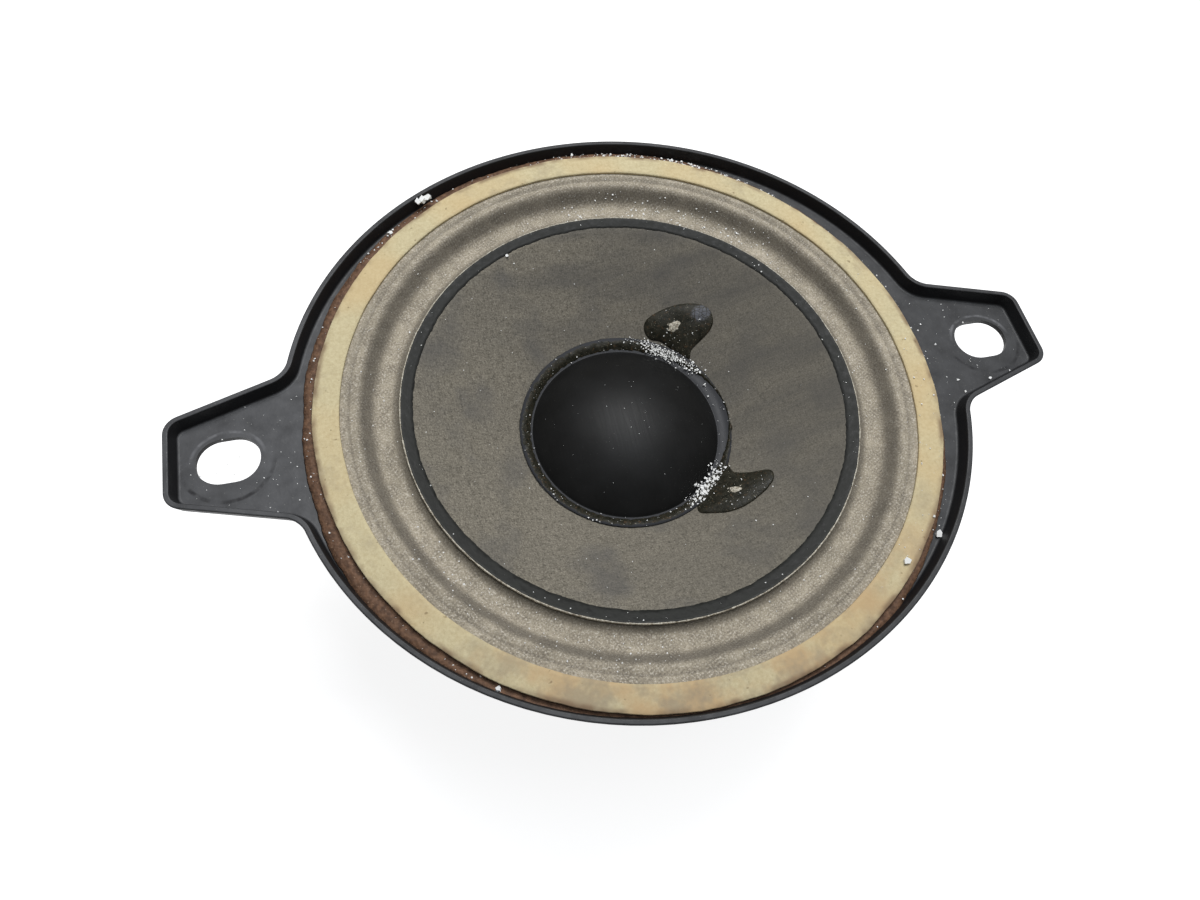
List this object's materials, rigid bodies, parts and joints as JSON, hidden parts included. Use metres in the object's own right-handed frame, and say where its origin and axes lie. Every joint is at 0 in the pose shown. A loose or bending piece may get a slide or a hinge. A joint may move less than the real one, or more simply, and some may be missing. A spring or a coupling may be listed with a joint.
{
  "type": "loudspeaker driver",
  "caption": "Small car loudspeaker driver: pressed steel basket with two slotted ears, card gasket, cloth surround, paper cone with dust cap, ferrite magnet.",
  "frame": {"origin": "on the voice coil's axis, level with the front face of the ears, midway between the two ear slots", "axes": "+Z towards the listener, +X along the line through the two ears, towards the ear above the terminals"},
  "size_m": [0.1248, 0.0918, 0.04],
  "materials": {
    "black_paint": "semi-gloss black enamel on pressed steel",
    "doped_cloth": "rubber-doped woven cloth, taupe grey",
    "gasket_card": "tan pressed card, mottled",
    "cork_cement": "granular brown cork cement",
    "spider_cloth": "resin-dipped cotton, honey coloured",
    "amber_glue": "hardened solvent glue",
    "black_glue": "dried black rubber glue",
    "zinc_steel": "yellowish zinc plate",
    "ferrite": "sintered ferrite, dark grey",
    "phenolic": "brown phenolic paper laminate",
    "bright_rivet": "bright rivet",
    "solder": "dull solder",
    "tinned_brass": "tinned brass",
    "tinsel": "braided tinsel wire",
    "cone_paper": "grey-brown felted paper",
    "black_cap": "satin black moulded cap",
    "kraft_former": "kraft paper",
    "copper": "enamelled copper"
  },
  "bodies": {
    "chassis": {"basket": "black_paint", "surround": "doped_cloth", "gasket_ring": "gasket_card", "gasket_cement": "cork_cement", "spider": "spider_cloth", "spider_shelf_glue": "amber_glue", "top_plate": "zinc_steel", "magnet_glue_front": "black_glue", "magnet_ring": "ferrite", "magnet_glue_back": "black_glue", "back_plate": "zinc_steel", "pole_piece": "zinc_steel", "basket_rivets": "zinc_steel", "terminal_board": "phenolic", "terminal_board_rivet": "bright_rivet", "terminal_eyelets": "bright_rivet", "solder_joints": "solder", "terminal_tab_positive": "tinned_brass", "terminal_tab_negative": "tinned_brass", "lead_positive": "tinsel", "lead_negative": "tinsel"},
    "cone_assembly": {"cone": "cone_paper", "cone_edge_glue": "black_glue", "dust_cap": "black_cap", "dust_cap_glue": "black_glue", "voice_coil_former": "kraft_former", "voice_coil_winding": "copper", "voice_coil_collar": "kraft_former", "neck_glue": "amber_glue", "spider_hub_glue": "amber_glue", "lead_glue_positive": "black_glue", "lead_glue_negative": "black_glue", "coil_wire_positive": "copper", "coil_wire_negative": "copper"}
  },
  "joints": [
    {"name": "cone_travel", "type": "slide", "parent": "chassis", "child": "cone_assembly", "axis": [0, 0, 1], "range_m": [-0.0025, 0.0025], "stiffness_N_per_m": 1500, "deforming": ["surround", "spider", "lead_positive", "lead_negative"]}
  ]
}
